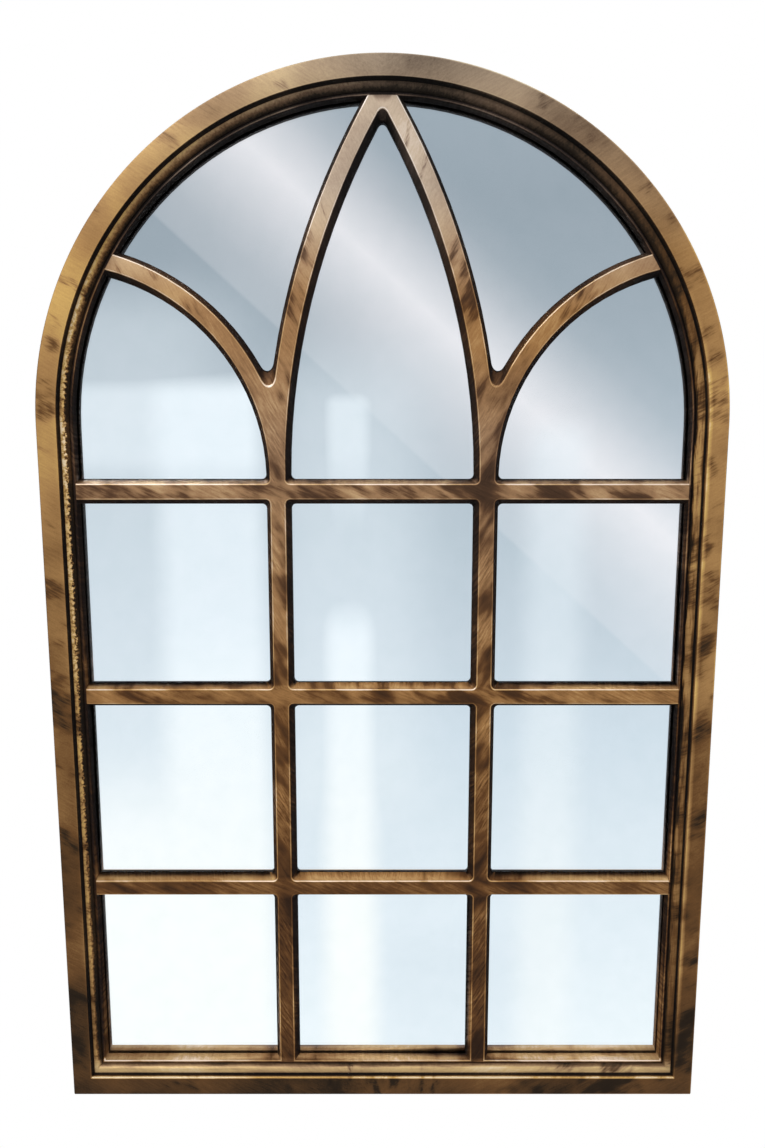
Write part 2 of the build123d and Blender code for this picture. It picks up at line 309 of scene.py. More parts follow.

# %% [markdown]
# ## Paint on the moulding
# A brush drawn over the moulding leaves gold on the flat band, skips the step, touches the bead
# and never gets under it. The band is dull at the foot and pale grey at the top. The bead has
# bare specks on the left leg and long marks on the right leg and the foot. Painted light makes
# it bright on the rail, where it faces up, and painted shade leaves little gold on the right of
# the arch. Painted shade also deepens the step and the lip. The outer sides keep a plain dark
# bronze.

# %% Bead and worn edges of the moulding
def bead_tone(put, at, at_rail, up_arch):
    """Gold on the bead's crown, broken by bare specks, fading where the bead turns in, brightened
    on the rail as painted light and dimmed on the arch's right as painted shade.
    """
    low = put(RANGE, at.x, -40, 40, 0.58, 0.36)
    high = put(RANGE, at.x, -40, 40, 0.87, 0.64)
    bead = put(MIX, put(RANGE, at.z, 60, 420), low, high)
    # Painted shade dims the bead on the arch towards its right. The rail's bead is set bright as
    # painted light, where it faces up.
    top = put(MIX, up_arch, 1.0, put(RANGE, at.x, -200, 40, 0.95, 0.37))
    bead = put(MIX, at_rail, put(MATH, bead, top, **TIMES), 0.74)
    specks = put(NOISE, at.mm, 1 / 2.2, 3.0, 0.6)
    for place, size in ((put(RANGE, at.x, -40, 40), (2.5, 5, 30)), (at_rail, (30, 5, 2.5))):
        drawn = put(VECTOR, at.mm, tuple(1 / part for part in size), **TIMES)
        specks = put(MIX, place, specks, put(NOISE, drawn, 1.0, 3.0, 0.6))
    plain = put(MATH, at_rail, up_arch, **LARGER)
    plain = put(MATH, plain, put(RANGE, at.z, 60, 320, 0.75, 0.0), **LARGER)
    worn = put(RANGE, specks, 0.36, 0.56, put(MIX, plain, 0.55, 0.84), 1.0)
    bead = put(MATH, bead, worn, **TIMES)

    # Past this inset the brush missed, along a line that wavers.
    reach = put(MIX, at_rail, put(RANGE, at.x, -40, 40, 19.0, 20.6), 20.6)
    waver = put(MIX, plain, 1.2, 0.25)
    waver = put(RANGE, specks, 0.3, 0.7, put(MATH, waver, -1.0, **TIMES), waver)
    past = put(MATH, at.inset, put(MATH, waver, reach, **PLUS), **MINUS)
    soft = put(MIX, put(MATH, up_arch, put(MATH, plain, 0.3, **TIMES), **LARGER), 0.5, 2.2)
    fade = put(RANGE, past, put(MATH, soft, -1.0, **TIMES), soft, 1.0, 0.15)
    return put(MATH, bead, fade, **TIMES)


def moulding_edges(put, at, up_arch):
    """How bright the arrises of the band are rubbed: a thin line, and wider on the right leg."""
    arris_off = put(MATH, put(MATH, at.inset, face_width - 0.2, **MINUS), **UNSIGNED)
    less_up = put(RANGE, at.z, 15.5, 17, 1.0, 0.25)
    line = put(MATH, put(RANGE, arris_off, 0.8, 0.2), less_up, **TIMES)
    leg = put(MATH, put(RANGE, at.z, 18, 60, 0.0, 0.7), put(MATH, up_arch, 0.8, **TIMES),
              **MINUS, use_clamp=True)
    wide = put(MATH, put(RANGE, arris_off, 3.2, 0.4), leg, **TIMES)
    outer = put(RANGE, at.inset, 0.5, 1.4, 0.6, 0.0)
    right = put(RANGE, at.x, 0, 60, 0.1, 1.0)
    rubbed = put(MATH, put(MATH, wide, outer, **LARGER), right, **TIMES)
    near_face = put(RANGE, at.depth, 2.5, 1.0)
    return put(MATH, put(MATH, rubbed, line, **LARGER), near_face, **TIMES)


print("the bead starts", face_width + step_run, "mm in")

# %% Paint on the moulding
def moulding_paint(put, at):
    """Gold band, dark step, dry-brushed bead and a nearly black lip."""
    at_rail = put(RANGE, at.z, 30, 22)
    up_arch = put(RANGE, at.z, leg_length + 10, leg_length + 130)

    # The ramp's greys are linear, and a square root makes them even steps to the eye.
    height = put(RAMP, put(RANGE, at.z, 0, leg_length + half_width),
                 stops=((0.0, "444444"), (1.0, "A8A8A8"), (0.07, "585858"), (0.2, "5C5C5C"),
                        (0.32, "666666"), (0.45, "8A8A8A"), (0.7, "A4A4A4")))
    height = put(MATH, put("ShaderNodeSeparateColor", height).outputs[0], 0.5, operation="POWER")
    held_back = put(MIX, put(RANGE, at.x, -60, 50),
                    put(RANGE, at.z, leg_length + 20, leg_length + 100, 0.12, 0.0),
                    put(RANGE, at.z, leg_length + 20, leg_length + 230, 0.04, 0.27))
    height = put(MATH, height, put(MATH, 1.0, held_back, **MINUS), **TIMES)
    on_bead = put(RANGE, at.inset, face_width + 0.5, face_width + step_run)
    # The band gets painted light on faces turned up and left, and the bead's tone is partly
    # painted light.
    tone = put(MIX, on_bead, brush_and_painted_light(put, at, height, 0.6),
               bead_tone(put, at, at_rail, up_arch))

    # The step between band and bead and the lip under the bead stay dark: dark base paint that the
    # brush missed, deepened as painted shade.
    hollow_in = put(RANGE, at.depth, put(MIX, up_arch, 1.0, 2.2), put(MIX, up_arch, 2.6, 3.8),
                    1.0, 0.05)
    hollow_out = put(RANGE, at.inset, face_width + 0.8, face_width + 1.3)
    lip = put(RANGE, at.depth, 8.8, 10, 1.0, 0.1)
    lit = put(MATH, put(MATH, hollow_in, hollow_out, **LARGER), lip, **TIMES)
    outside = put(MATH, put(RANGE, at.inset, 0.3, 0.8, 0.24, 0.0),
                  put(RANGE, at.depth, 1, 2), **TIMES)
    tone = put(MATH, put(MATH, tone, lit, **TIMES), outside, **LARGER)

    # Greyer paint near the top and on the rail's bead, and more dark sweeps on the right leg.
    on_rail_bead = put(MATH, at_rail, on_bead, **TIMES)
    grey = put(MATH, put(RANGE, at.z, leg_length + 120, leg_length + half_width, 0.0, 0.8),
               put(RANGE, at.x, -180, 0, 0.3, 1.0), **TIMES)
    grey = put(MATH, on_rail_bead, 0.3, grey, **TIMES_PLUS)
    more = put(MATH, put(RANGE, at.x, -60, 120), put(RANGE, at.z, 250, 400, 0.09, 0.04), **TIMES)
    less = put(RANGE, at.z, leg_length, leg_length + 120, 0.0, 0.12)
    less = put(MATH, on_rail_bead, 0.12, less, **TIMES_PLUS)
    edge = moulding_edges(put, at, up_arch)
    return tone, edge, grey, put(MATH, more, less, **MINUS), None, 1.0


frame_paint = antique_bronze(
    "antique_bronze_paint_on_moulding", moulding_paint,
    ((0.0, "120D0B"), (1.0, "EED7B4"), (0.14, "2B1F13"), (0.34, "654526"), (0.56, "A27B4C"),
     (0.76, "CDA662")), grey_hue=0.515, slants=(30,), sweep=(30, 20, 17), cover=0.51,
    darkness=0.7, streak=0.035)
print("paint nodes on the moulding:", len(frame_paint.node_tree.nodes))

# %% [markdown]
# ## Paint on the grille
# The bars are gold in front, with arrises rubbed bright and a painted highlight where they
# face up, and painted shade that darkens the sides towards the glass and the ledge under the
# bead. Top faces get painted light up to the top row. Dark paint gathers where bars cross and
# on the rows and uprights of the upper half. On the arch the brush marks fade, and the bars
# are paler, and grey near the top.

# %% Rows and crossings of the grille
def rows_and_crossings(put, at):
    """Masks for the cross bars, and for how much darker it gets near a crossing."""
    beside = put(MATH, put(MATH, at.x, **UNSIGNED), upright_x, **MINUS)
    fall = put(MATH, put(MATH, top_bar_z, at.z, **MINUS), row_pitch, **OVER)
    from_row = put(MATH, put(MATH, fall, 0.5, **PLUS), operation="FRACT")
    from_row = put(MATH, put(MATH, from_row, 0.5, **MINUS), row_pitch, **TIMES)
    away = put(VECTOR, put(GATHER, beside, from_row, 0.0), operation="LENGTH").outputs["Value"]
    crossing = put(RANGE, away, 8, 30, put(RANGE, at.x, -40, 40, 0.04, 0.18), 0.0)
    off_row = put(MATH, from_row, **UNSIGNED)
    on_row = put(MATH, put(RANGE, off_row, bar_half + 4, bar_half - 1.5),
                 put(RANGE, at.z, top_bar_z + 12, top_bar_z + 8), **TIMES)
    return on_row, crossing


print("rows at", [round(top_bar_z - row * row_pitch, 1) for row in range(3)])

# %% Paint on the grille
def grille_paint(put, at):
    """Gold faces, bright arrises, and dark sides towards the glass."""
    high = put(RANGE, at.z, 615, 700)
    height = put(RANGE, at.z, 180, 420, 0.31, 0.56, **SMOOTH)
    height = put(MATH, high, 0.16, height, **TIMES_PLUS)
    # Faces turned up get painted light up to the top row, and little above it.
    painted_top_light = put(RANGE, at.z, top_bar_z + 8, top_bar_z + 16, 0.62, 0.12)
    at_foot = put(RANGE, at.z, rim_inset + 4, rim_inset + 1)
    tone = put(MATH, at_foot, 0.12, brush_and_painted_light(put, at, height, painted_top_light), **TIMES_PLUS)
    # Painted shade: the sides darken towards the glass, and the ledge beside the rim is darkened
    # as the bead's shadow, except at the foot.
    ledge_shadow = put(RANGE, at.inset, rim_inset - 0.1, rim_inset + 0.3, 0.12, 1.0)
    ledge_shadow = put(MATH, ledge_shadow, at_foot, **LARGER)
    lit = put(MATH, put(RANGE, at.depth, 12, 17, 1.0, 0.75), ledge_shadow, **TIMES)
    tone = put(MATH, tone, lit, **TIMES)

    # Worn arrises with a painted highlight: brightest where they face up, on the right and on the
    # arch, with a highlight line along the rim.
    arris = put("ShaderNodeAttribute", attribute_name="arris").outputs["Fac"]
    painted_highlight_up = put(RANGE, put(SPLIT, at.normal).outputs[2], -0.5, 0.5, 0.45, 1.1)
    on_arch = put(RANGE, at.z, leg_length + 10, leg_length + 40, 0.0, 0.7)
    kept = put(MATH, put(RANGE, at.x, 0, 60, 0.15, 1.0), ledge_shadow, **LARGER)
    kept = put(MATH, put(MATH, kept, on_arch, **LARGER), painted_highlight_up, **TIMES)
    rim_highlight = put(MATH, put(RANGE, at.inset, rim_inset + 0.4, rim_inset),
                   put(RANGE, at.x, -60, 140, 1.3, 0.5), **TIMES)
    kept = put(MATH, kept, put(MATH, rim_highlight, on_arch, **TIMES), **LARGER)

    # Grey comes in with height, but the side arcs stay gold.
    grey = put(MATH, at_foot, 0.1, put(RANGE, at.z, 330, 520, 0.0, 0.3), **TIMES_PLUS)
    gold_arc = put(MATH, put(RANGE, at.z, 530, 590), put(RANGE, at.x, -40, 80, 0.6, 1.0), **TIMES)
    grey = put(MATH, grey, put(MATH, 1.0, gold_arc, **MINUS), **TIMES)
    grey = put(MATH, grey, put(MATH, high, 0.8, **TIMES), **LARGER)

    # More dark sweeps at crossings, on the upper rows and on the uprights of the middle panes.
    on_row, crossing = rows_and_crossings(put, at)
    more = put(MATH, on_row, put(RANGE, at.z, 350, 480, -0.02, 0.1), **TIMES)
    middle = put(MATH, put(RANGE, at.z, 240, 270, 0.0, 0.09),
                 put(RANGE, at.z, 400, 440, 1.0, 0.2), **TIMES)
    middle = put(MATH, middle, put(MATH, 1.0, on_row, **MINUS), **TIMES)
    for place in (crossing, middle):
        more = put(MATH, more, place, **LARGER)
    more = put(MATH, high, -0.12, more, **TIMES_PLUS)
    tone = put(MATH, on_row, 0.04, tone, **TIMES_PLUS)
    marked = put(MIX, on_row, put(RANGE, at.z, 480, 640, 1.6, 0.35), 1.0)
    return tone, put(MATH, arris, kept, **TIMES), grey, more, on_row, marked


grille_finish = antique_bronze(
    "antique_bronze_paint_on_grille", grille_paint,
    ((0.0, "1C1310"), (1.0, "F2DCC6"), (0.14, "332114"), (0.34, "603F22"), (0.56, "9D7346"),
     (0.76, "CAA36D")), grey_hue=0.5, slants=(60, -24), sweep=(36, 20, 12), cover=0.48,
    darkness=0.66, streak=0.1)
print("paint nodes on the grille:", len(grille_finish.node_tree.nodes))

# %% [markdown]
# ## Silvered float glass
# The mirror is 3 mm float glass with silver on its back. Light goes in through a clear,
# faintly green front, meets the silver and comes out again, so a bar's reflection starts one
# glass thickness behind the bar. The glass is a clear material on the CAD sheet, and the
# silver is a sheet of its own, just inside the glass's back.

# %% Glass and silver
glass, put, shader = new_material("clear_float_glass")
shader.inputs["Base Color"].default_value = linear("FCFEFD")
shader.inputs["Transmission Weight"].default_value = 1.0
shader.inputs["IOR"].default_value = 1.52
smears_per_metre = 9.0
wiped = put(NOISE, put(PLACES).outputs["Object"], smears_per_metre)
join(put(RANGE, wiped, 0.5, 0.8, 0.0, 0.004), shader.inputs["Roughness"])

silver, put, shader = new_material("silvering_on_glass")
shader.inputs["Metallic"].default_value = 1.0
mottles_per_metre = 60.0
mottle = put(NOISE, put(PLACES).outputs["Object"], mottles_per_metre)
tint = put(RAMP, mottle, stops=((0.3, "FAFBFB"), (0.7, "FDFDFD")))
join(tint, shader.inputs["Base Color"])
join(put(RANGE, mottle, 0.5, 0.8, 0.0, 0.003), shader.inputs["Roughness"])
print("glass and silver ready")

# %% [markdown]
# ## Foam, hardboard, zinc and rubber
# A thin foamed sheet cushions the glass, a brown hardboard closes the back, the small
# fittings are zinc-plated steel, and the bumpers are moulded rubber. Foam shows 0.8 mm cells,
# hardboard pressed fibres of 3 mm by 0.6 mm, zinc plate faint drawn lines with cloudy patches,
# and rubber a dull skin that dust makes a little uneven.

# %% Plain finishes
def plain_finish(name, dark, light, grain, roughness, bump_height, metallic=0.0):
    """Material with a grain given as the size of its marks along X, Y and Z in millimetres."""
    material, put, shader = new_material(name)
    place = put(PLACES).outputs["Object"]
    per_grain = tuple(1 / (size * MM) for size in grain)
    marks = put(NOISE, put(VECTOR, place, per_grain, **TIMES), 1.0, 4.0, 0.6)
    clouds = put(NOISE, place, 1 / (cloud_size * MM))
    both = put(MATH, clouds, 0.35, marks, **TIMES_PLUS)
    tint = put(RAMP, put(RANGE, both, 0.4, 0.95), stops=((0.0, dark), (1.0, light)))
    rough = put(RANGE, marks, 0.3, 0.7, roughness - 0.07, roughness + 0.07)
    bump = put("ShaderNodeBump", 0.5, bump_height * MM, None, marks)
    join(tint, shader.inputs["Base Color"])
    join(rough, shader.inputs["Roughness"])
    join(bump, shader.inputs["Normal"])
    shader.inputs["Metallic"].default_value = metallic
    return material


foam = plain_finish("white_polyethylene_foam", "DAD9D3", "F3F2EE", (0.8, 0.8, 0.8), 0.75, 0.1)
hardboard = plain_finish("pressed_hardboard", "573A22", "8A6543", (3.0, 3.0, 0.6), 0.6, 0.06)
zinc = plain_finish("zinc_plated_steel", "9C9C98", "D2D2CC", (0.5, 0.5, 6.0), 0.34, 0.01, 1.0)
rubber = plain_finish("moulded_black_rubber", "17171A", "2B2B2D", (0.7, 0.7, 0.7), 0.7, 0.03)
print("finishes:", foam.name, hardboard.name, zinc.name, rubber.name)

# %% [markdown]
# ## Helpers for pieces
# Each finished piece is a plain mesh at the origin with its place in its vertices. Geometry
# Nodes or modifiers make the shape, and the evaluated result is then kept as the mesh.

# %% Piece helpers
def new_piece(name, mesh):
    """Object for a mesh, in the scene, at the origin."""
    piece = bpy.data.objects.new(name, mesh)
    scene.collection.objects.link(piece)
    return piece


def result_mesh(piece):
    """Mesh that a piece's modifiers, or a curve's bevel, make."""
    bpy.context.view_layer.update()
    graph = bpy.context.evaluated_depsgraph_get()
    return bpy.data.meshes.new_from_object(piece.evaluated_get(graph))


def keep_result(piece):
    """Replace a piece's mesh by what its modifiers make of it, and take them off."""
    result = result_mesh(piece)
    piece.modifiers.clear()
    piece.data = result
    result.name = piece.name
    return piece


def give(mesh, finish):
    """Give a mesh one material in place of those it has."""
    mesh.materials.clear()
    mesh.materials.append(finish)


def dress(piece, body, slot, *nodes):
    """Let a piece ride on a body and let it stand for its CAD nodes; the slot is not used."""
    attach(piece, body)
    if nodes:
        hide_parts(*nodes)
    print(f"{piece.name}: {len(piece.data.polygons)} faces on {body}")


def new_tree(name, **inputs):
    """Geometry Nodes tree with named inputs, what adds a node to it, and its two end nodes."""
    tree = bpy.data.node_groups.new(name, "GeometryNodeTree")
    tree.interface.new_socket("Geometry", in_out="INPUT", socket_type="NodeSocketGeometry")
    for label, kind in inputs.items():
        tree.interface.new_socket(label, in_out="INPUT", socket_type="NodeSocket" + kind)
    tree.interface.new_socket("Geometry", in_out="OUTPUT", socket_type="NodeSocketGeometry")
    put = partial(add, tree)
    return tree, put, put("NodeGroupInput"), put("NodeGroupOutput")


def run_tree(piece, tree, **values):
    """Put a tree on a piece, fill its inputs by their identifiers, and keep the result."""
    modifier = piece.modifiers.new(tree.name, "NODES")
    modifier.node_group = tree
    for item in tree.interface.items_tree:
        if item.in_out == "INPUT" and item.name in values:
            modifier[item.identifier] = values[item.name]
    return keep_result(piece)


print("piece helpers ready")

# %% [markdown]
# ## Frame moulding
# The moulding is one section carried round the arch: a flat band, a steep step, a bead and a
# square lip, with a rebate behind. Curve to Mesh gives the skin of that sweep, but it would
# pinch the section at the two square corners of the foot. So the tree keeps each point's
# inset and depth from the section, and places it itself: pulled in towards the arch's centre
# above the spring line, and pressed into a smaller rectangle below it. That gives true mitres.

# %% Section of the moulding
def rounded(points, centre, radius, start, turn, steps):
    """Add an arc to a list of points; angles in degrees, in the plane of inset and depth."""
    for step in range(steps + 1):
        angle = radians(start + turn * step / steps)
        points.append((centre[0] + radius * cos(angle), centre[1] + radius * sin(angle)))


section = [(0, frame_depth)]
rounded(section, (face_outer_round, face_outer_round), face_outer_round, 180, 90, 6)
rounded(section, (face_width - face_inner_round, face_inner_round), face_inner_round, 270, 78, 5)
section.append((face_width + 0.35 * step_run, 0.4 * step_depth))
bead_back = step_depth + bead_radius
rounded(section, (face_width + step_run, bead_back), bead_radius, 270, 90, 16)
lip_inset, lip_back = face_width + step_run + bead_radius, bead_back + lip_edge_depth
section += [(lip_inset, lip_back), (rebate_inset, lip_back), (rebate_inset, frame_depth)]
mesh = bpy.data.meshes.new("frame_moulding_section")
edges = [(i, (i + 1) % len(section)) for i in range(len(section))]
mesh.from_pydata([(inset * MM, depth * MM, 0) for inset, depth in section], edges, [])
moulding = new_piece("frame_moulding_painted", mesh)
print("points in the section:", len(section))

# %% Tree that carries the section round the arch
tree, put, given, result = new_tree(
    "carry_round_arch", HalfWidth="Float", LegLength="Float", FrontY="Float", FootRound="Float",
    ArchSteps="Int", Finish="Material")
half, leg, front, foot, steps, finish = given.outputs[1:7]

# The path's points: along the arch from right to left, then the foot's two corners.
line = put("GeometryNodeMeshLine", put(MATH, steps, 3.0, **PLUS))
share = put(MATH, put("GeometryNodeInputIndex"), steps, **OVER)
angle = put(MATH, share, pi, **TIMES)
round_x = put(MATH, put(MATH, angle, operation="COSINE"), half, **TIMES)
round_z = put(MATH, put(MATH, angle, operation="SINE"), half, leg, **TIMES_PLUS)
on_arch = put(GATHER, round_x, 0.0, round_z)
is_last = put(MATH, share, put(MATH, 1.5, steps, **OVER), **MINUS)
is_last = put(MATH, is_last, 1.0, operation="GREATER_THAN")
foot_side = put(MATH, is_last, 2.0, -1.0, **TIMES_PLUS)
at_foot = put(GATHER, put(MATH, foot_side, half, **TIMES), 0.0, 0.0)
is_foot = put(MATH, share, 1.0 + 1e-6, operation="GREATER_THAN")
place = put(MIX, is_foot, data_type="VECTOR")
join(on_arch, place.inputs[4])
join(at_foot, place.inputs[5])

# A closed curve with rounded foot corners carries the section, and both keep their places.
laid = put("GeometryNodeSetPosition", line, None, place.outputs[1])
path = put("GeometryNodeMeshToCurve", laid)
path = put("GeometryNodeSetSplineCyclic", path, None, True)
corner = put(MATH, is_foot, foot, **TIMES)
path = put("GeometryNodeFilletCurve", path, 6, corner, True, mode="POLY")
spot = put("GeometryNodeInputPosition")
path = put("GeometryNodeCaptureAttribute", path)
path.capture_items.new("VECTOR", "path place")
join(spot, path.inputs[1])
profile = put("GeometryNodeMeshToCurve", given.outputs["Geometry"])
profile = put("GeometryNodeCaptureAttribute", profile)
profile.capture_items.new("VECTOR", "section place")
join(spot, profile.inputs[1])
skin = put("GeometryNodeCurveToMesh", path, profile)
print("nodes up to the skin:", len(tree.nodes))

# %% Places of the skin's points
where = put(SPLIT, path.outputs[1])
inset, depth = put(SPLIT, profile.outputs[1]).outputs[:2]
above = put(MATH, put(MATH, where.outputs[2], leg, **MINUS), 0.0, **LARGER)
shrink = put(MATH, 1.0, put(MATH, inset, half, **OVER), **MINUS)
arch_x = put(MATH, where.outputs[0], shrink, **TIMES)
arch_z = put(MATH, above, shrink, leg, **TIMES_PLUS)
inner = put(MATH, half, inset, **MINUS)
leg_x = put(MATH, where.outputs[0], inner, operation="MINIMUM")
leg_x = put(MATH, leg_x, put(MATH, inner, -1.0, **TIMES), **LARGER)
leg_z = put(MATH, where.outputs[2], inset, **LARGER)
in_arch = put(MATH, above, 1e-9, operation="GREATER_THAN")
final = put(GATHER, put(MIX, in_arch, leg_x, arch_x), put(MATH, depth, front, **PLUS),
            put(MIX, in_arch, leg_z, arch_z))
body = put("GeometryNodeSetPosition", skin, None, final)
body = put("GeometryNodeMergeByDistance", body, None, 0.0005 * MM)
body = put("GeometryNodeRealizeInstances", body)
body = put("GeometryNodeSetMaterial", body, None, finish)
join(body, result.inputs[0])
run_tree(moulding, tree, HalfWidth=half_width * MM, LegLength=leg_length * MM, FrontY=front_y * MM,
         FootRound=foot_corner_round * MM, ArchSteps=180, Finish=frame_paint)
print("moulding:", len(moulding.data.vertices), "points")

# %% Smooth the moulding and let it stand for the CAD node
weld_gap = 0.001 * MM


def face_outwards(mesh):
    """Merge doubles and point every face outwards."""
    shell = bmesh.new()
    shell.from_mesh(mesh)
    bmesh.ops.remove_doubles(shell, verts=shell.verts, dist=weld_gap)
    bmesh.ops.dissolve_degenerate(shell, edges=shell.edges, dist=weld_gap / 10)
    bmesh.ops.recalc_face_normals(shell, faces=shell.faces)
    shell.to_mesh(mesh)
    shell.free()


def smooth_rounds(mesh, angle):
    """Shade smooth wherever two faces meet at less than an angle in degrees."""
    mesh.shade_smooth()
    mesh.set_sharp_from_angle(angle=radians(angle))


face_outwards(moulding.data)
smooth_rounds(moulding.data, 40)
dress(moulding, "mirror", "antique_bronze", "frame_moulding")

# %% [markdown]
# ## Tracery grille
# The grille is right as the CAD model has it, only its bevels are flat. A copy of the mesh is
# merged, because the CAD mesh is loose triangles, and weighted normals then let each 0.6 mm
# bevel shade as a round that blends into the faces beside it. The bevels are also marked with
# an attribute, so that the paint there can be worn bright.

# %% Grille with soft arrises
def copy_of(node, name, finish, angle=50):
    """Merged copy of a CAD node's mesh, smooth up to an angle, with weighted normals."""
    piece = new_piece(name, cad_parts[node].data.copy())
    face_outwards(piece.data)
    smooth_rounds(piece.data, angle)
    weigh = piece.modifiers.new("weighted_normals", "WEIGHTED_NORMAL")
    weigh.keep_sharp = True
    keep_result(piece)
    give(piece.data, finish)
    return piece


arris_depth, least_tilt, most_tilt = 0.6, 0.55, 0.97
grille = copy_of("tracery_grille", "tracery_grille_painted", grille_finish)
arris = grille.data.attributes.new("arris", "FLOAT", "FACE")
for face in grille.data.polygons:
    near_face = face.center.y < grille_low.y + arris_depth * MM
    tilted = least_tilt < -face.normal.y < most_tilt
    arris.data[face.index].value = 1.0 if near_face and tilted else 0.0
print("faces on the arrises:", sum(1 for item in arris.data if item.value))
dress(grille, "mirror", "antique_bronze", "tracery_grille")

# %% [markdown]
# ## Glass, cushion and board
# These three sheets keep their CAD nodes and get their finishes. The silver is added as a
# thin sheet inside the back of the glass, made from a copy of the glass pressed flat.

# %% Sheets behind the grille
sheets = {"mirror_glass": glass, "cushion_sheet": foam, "backing_board": hardboard}
for node, finish in sheets.items():
    give(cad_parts[node].data, finish)
glass_low, glass_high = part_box("mirror_glass")
silvering = new_piece("silvering_sheet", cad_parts["mirror_glass"].data.copy())
face_outwards(silvering.data)
silvering.data.shade_flat()
give(silvering.data, silver)
silver_depth, silver_share = 0.1 * MM, 0.999
silver_front = glass_high.y - 2 * silver_depth
middle = (glass_low + glass_high) / 2
for vertex in silvering.data.vertices:
    share = (vertex.co.y - glass_low.y) / (glass_high.y - glass_low.y)
    vertex.co.y = silver_front + share * silver_depth
    vertex.co.x = middle.x + (vertex.co.x - middle.x) * silver_share
    vertex.co.z = middle.z + (vertex.co.z - middle.z) * silver_share
dress(silvering, "mirror", "mirror")

# %% [markdown]
# ## Slotted screws
# Twelve small wood screws hold the turn buttons and the straps, with slotted domed heads and
# threaded shanks inside the frame. One screw is a lathed profile with a slot cut across it.
# Geometry Nodes set it at every screw's place, each turned by a different amount, as a hand
# leaves them.

# %% Places of the screws
def solids_of(node):
    """Lowest and highest corner of every loose solid in a CAD node."""
    shell = bmesh.new()
    shell.from_mesh(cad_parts[node].data)
    bmesh.ops.remove_doubles(shell, verts=shell.verts, dist=weld_gap)
    boxes, seen = [], set()
    for start in shell.verts:
        if start in seen:
            continue
        solid, waiting = {start}, [start]
        while waiting:
            for edge in waiting.pop().link_edges:
                for vertex in edge.verts:
                    if vertex not in solid:
                        solid.add(vertex)
                        waiting.append(vertex)
        seen |= solid
        spots = [vertex.co for vertex in solid]
        boxes.append((Vector(map(min, zip(*spots))), Vector(map(max, zip(*spots)))))
    shell.free()
    return boxes


screw_boxes = {node: solids_of(node) for node in ("turn_button_screws", "hanger_screws")}
print({node: len(boxes) for node, boxes in screw_boxes.items()})

# %% One slotted screw
def mesh_of(shell, name):
    """Turn a shell into a mesh."""
    mesh = bpy.data.meshes.new(name)
    shell.to_mesh(mesh)
    shell.free()
    return mesh


def lathe(profile, sides):
    """Mesh turned round the Y axis from points of radius and y, closed where radius is zero."""
    shell = bmesh.new()
    rings = []
    for radius, y in profile:
        if radius == 0:
            rings.append([shell.verts.new((0, y, 0))])
            continue
        turn = [2 * pi * side / sides for side in range(sides)]
        rings.append([shell.verts.new((radius * cos(a), y, radius * sin(a))) for a in turn])
    for near, far in zip(rings, rings[1:]):
        for side in range(sides):
            after = (side + 1) % sides
            corners = [near[side % len(near)], near[after % len(near)],
                       far[after % len(far)], far[side % len(far)]]
            shell.faces.new(list(dict.fromkeys(corners)))
    bmesh.ops.recalc_face_normals(shell, faces=shell.faces)
    return mesh_of(shell, "lathed")


head_radius, head_height, head_rim = 3.0 * MM, 1.8 * MM, 0.5 * MM
shank_length, thread_start, thread_pitch = 13.0 * MM, 1.6 * MM, 1.2 * MM
shank_radius = 1.5 * MM
root, crest, neck = shank_radius * 0.72, shank_radius * 0.97, shank_radius * 0.95
slot_width, slot_depth = 0.8 * MM, 0.9 * MM
profile = [(0, -shank_length), (0.3 * MM, -shank_length + 0.6 * MM)]
for turn in range(8):
    y = -shank_length + thread_start + turn * thread_pitch
    profile += [(root, y), (crest, y + thread_pitch / 2)]
profile += [(root, -1.2 * MM), (neck, -0.6 * MM), (neck, 0), (head_radius * 0.93, 0),
            (head_radius, 0.12 * MM), (head_radius, head_rim)]
for step in range(1, 7):
    angle = radians(90 * step / 6)
    profile.append((head_radius * cos(angle) if step < 6 else 0,
                    head_rim + (head_height - head_rim) * sin(angle)))
screw = new_piece("slotted_screw", lathe(profile, 28))
shell = bmesh.new()
slot_size = (3 * head_radius, 2 * slot_depth, slot_width)
slot_place = Matrix.LocRotScale((0, head_height, 0), None, slot_size)
bmesh.ops.create_cube(shell, size=1, matrix=slot_place)
cutter = new_piece("slot_cutter", mesh_of(shell, "slot_cutter"))
cut = screw.modifiers.new("slot", "BOOLEAN")
cut.object = cutter
cut.solver = "EXACT"
keep_result(screw)
smooth_rounds(screw.data, 35)
bpy.data.objects.remove(cutter)
print("screw faces:", len(screw.data.polygons))

# %% Set the screws
tree, put, given, result = new_tree("set_screws", Screw="Object", Seed="Int", Finish="Material")
shape = put("GeometryNodeObjectInfo", given.outputs["Screw"]).outputs["Geometry"]
turned = put("FunctionNodeRandomValue", 0.0, pi, None, given.outputs["Seed"])
turn = put(GATHER, 0.0, turned.outputs[1], 0.0)
dots = put("GeometryNodeMeshToPoints", given.outputs["Geometry"])
copies = put("GeometryNodeInstanceOnPoints", dots, None, shape, None, None, turn)
solid = put("GeometryNodeRealizeInstances", copies)
solid = put("GeometryNodeSetMaterial", solid, None, given.outputs["Finish"])
join(solid, result.inputs[0])

for seed, (node, boxes) in enumerate(screw_boxes.items(), 1):
    mesh = bpy.data.meshes.new(node + "_places")
    heads = [((low.x + high.x) / 2, high.y - head_height, (low.z + high.z) / 2)
             for low, high in boxes]
    mesh.from_pydata(heads, [], [])
    screws = new_piece(node + "_slotted", mesh)
    run_tree(screws, tree, Screw=screw, Seed=seed, Finish=zinc)
    dress(screws, "mirror", "zinc_steel", node)
bpy.data.objects.remove(screw)

# %% [markdown]
# ## Rings
# Each hanger's ring is 2 mm wire bent to a D, with its straight side in the strap's rolled
# eye. A smooth curve with a round bevel is that wire, in place of the CAD ring's flat sides.

